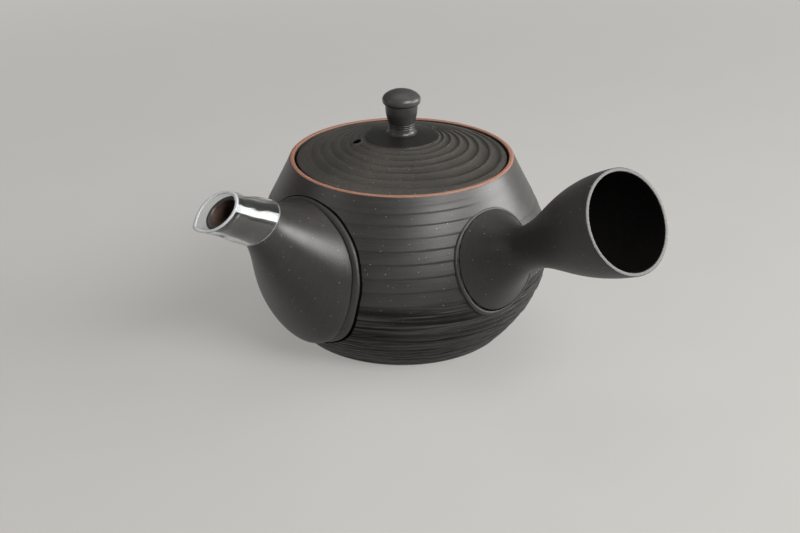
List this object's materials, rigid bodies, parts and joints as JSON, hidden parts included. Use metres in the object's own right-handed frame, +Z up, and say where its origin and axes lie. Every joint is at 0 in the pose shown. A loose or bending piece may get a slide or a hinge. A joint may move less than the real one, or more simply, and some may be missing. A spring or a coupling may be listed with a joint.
{
  "type": "side-handled teapot",
  "caption": "Thrown stoneware side-handled teapot with a luted bell spout, clear spout guard, hollow trumpet handle, pierced strainer and a lift-off lid with a knob.",
  "frame": {"origin": "centre of the flat base, on the surface that the pot stands on", "axes": "+Z up along the pot's axis, the spout points along -X and the handle along -Y"},
  "size_m": [0.1423, 0.1675, 0.0896],
  "materials": {
    "smoked_stoneware": "unglazed, smoke-fired, semi-matte with turned rings",
    "lid_stoneware": "unglazed, smoke-fired, semi-matte with fine turned steps",
    "bare_clay": "bare fired red clay, matte",
    "clear_vinyl": "clear soft vinyl, glossy"
  },
  "bodies": {
    "pot": {"body": "smoked_stoneware", "spout": "smoked_stoneware", "spout_slip_bead": "smoked_stoneware", "strainer": "bare_clay", "handle": "smoked_stoneware", "handle_slip_bead": "smoked_stoneware"},
    "lid": {"lid": "lid_stoneware", "knob": "lid_stoneware"},
    "guard": {"spout_guard": "clear_vinyl"}
  },
  "joints": [
    {"name": "lid_lift", "type": "slide", "parent": "pot", "child": "lid", "axis": [0, 0, 1], "range_m": [0, 0.06]},
    {"name": "guard_pull", "type": "slide", "parent": "pot", "child": "guard", "axis": [-0.8846, 0, 0.4664], "range_m": [0, 0.03]}
  ]
}
